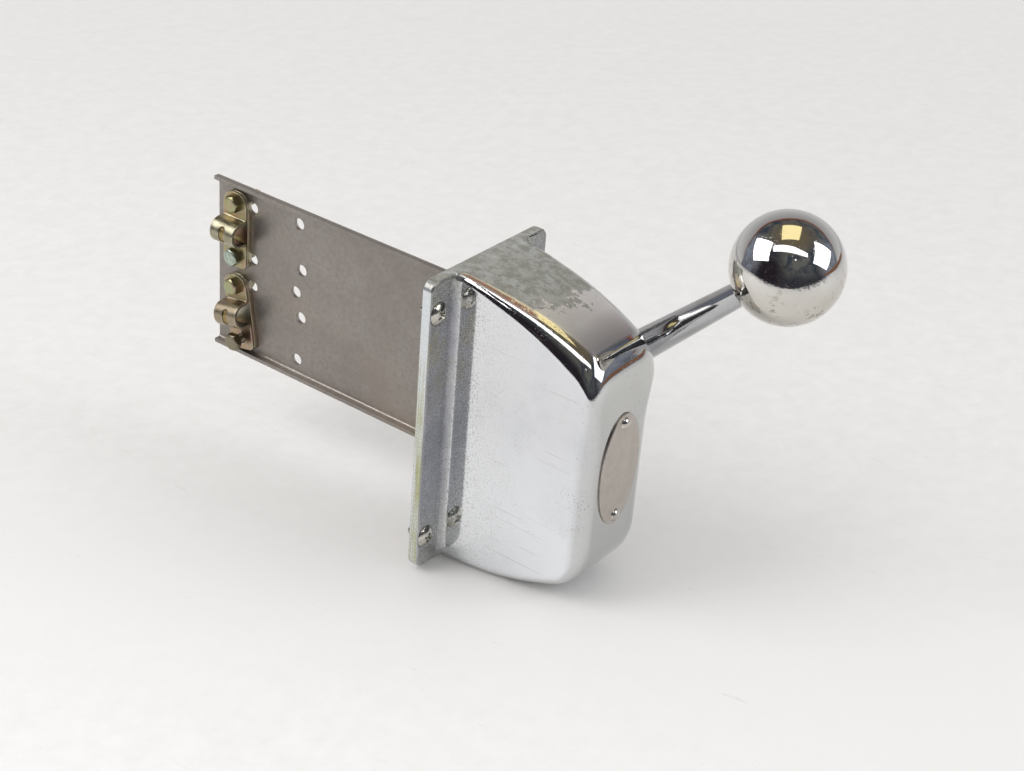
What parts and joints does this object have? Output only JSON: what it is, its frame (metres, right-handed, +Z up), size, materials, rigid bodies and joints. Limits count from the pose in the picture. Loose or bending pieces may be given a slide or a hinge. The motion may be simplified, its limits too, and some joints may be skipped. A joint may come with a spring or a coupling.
{
  "type": "boat throttle control lever",
  "caption": "Side-mount boat throttle: a chromed flanged housing carries a ball-knobbed lever on a cross shaft; a slotted-hole back plate clamps the control cables it pushes and pulls.",
  "frame": {"origin": "centre of the flange's back face, midway between the four panel screws", "axes": "+X out of the panel, through the housing's nose; +Y to the side that carries the lever; +Z up along the flange"},
  "size_m": [0.3238, 0.0998, 0.1931],
  "materials": {
    "chrome_housing": "polished chrome plate, pitted on the sides and dulled on top near the flange",
    "chrome_lever": "polished chrome plate",
    "chrome_ball": "mirror chrome with fine scratches",
    "nameplate_metal": "satin, blank",
    "nickel_rivets": "polished nickel",
    "steel_screws": "dulled plated steel",
    "bare_steel_plate": "brown-grey satin steel, mottled",
    "yellow_zinc": "yellow zinc plate with a slight rainbow tint",
    "steel_pins": "turned steel",
    "black_screw": "black oxide steel",
    "bronze_bush": "sintered bronze, oiled",
    "brake_lining": "pressed fibre lining"
  },
  "bodies": {
    "control_body": {"housing": "chrome_housing", "panel_screws": "steel_screws", "nameplate": "nameplate_metal", "nameplate_rivets": "nickel_rivets", "back_plate": "bare_steel_plate", "chassis_screws": "steel_screws", "stop_pins": "steel_pins", "upper_clamp_strip": "yellow_zinc", "upper_clamp_saddle": "yellow_zinc", "lower_clamp_strip": "yellow_zinc", "lower_clamp_saddle": "yellow_zinc", "clamp_screws": "yellow_zinc", "clamp_washers": "yellow_zinc", "clamp_nuts": "yellow_zinc", "wall_bush": "bronze_bush", "inner_bush": "bronze_bush", "brake_disc": "brake_lining"},
    "lever": {"lever_arm": "chrome_lever", "hub_set_screw": "black_screw", "ball_knob": "chrome_ball", "lever_shaft": "steel_pins", "drive_arm": "bare_steel_plate", "drive_pin": "steel_pins", "disc_springs": "steel_pins", "brake_nut": "yellow_zinc", "split_pin": "steel_pins"},
    "upper_swivel": {"upper_cable_swivel": "bronze_bush", "upper_swivel_clip": "steel_pins"},
    "lower_swivel": {"lower_cable_swivel": "bronze_bush", "lower_swivel_clip": "steel_pins"}
  },
  "joints": [
    {"name": "lever_swing", "type": "hinge", "parent": "control_body", "child": "lever", "pos_m": [0.025, 0, 0], "axis": [0, 1, 0], "range_deg": [-16.2, 103.8]},
    {"name": "upper_swivel_turn", "type": "hinge", "parent": "lever", "child": "upper_swivel", "pos_m": [0.00285, 0, 0.0231], "axis": [0, 1, 0], "range_deg": [-104.3, 16.7]},
    {"name": "lower_swivel_turn", "type": "hinge", "parent": "lever", "child": "lower_swivel", "pos_m": [0.01116, 0, 0.01443], "axis": [0, 1, 0], "range_deg": [-104.3, 16.7]}
  ],
  "couplings": [
    {"joint": "upper_swivel_turn", "follows": "lever_swing", "ratio": -1},
    {"joint": "lower_swivel_turn", "follows": "lever_swing", "ratio": -1}
  ]
}
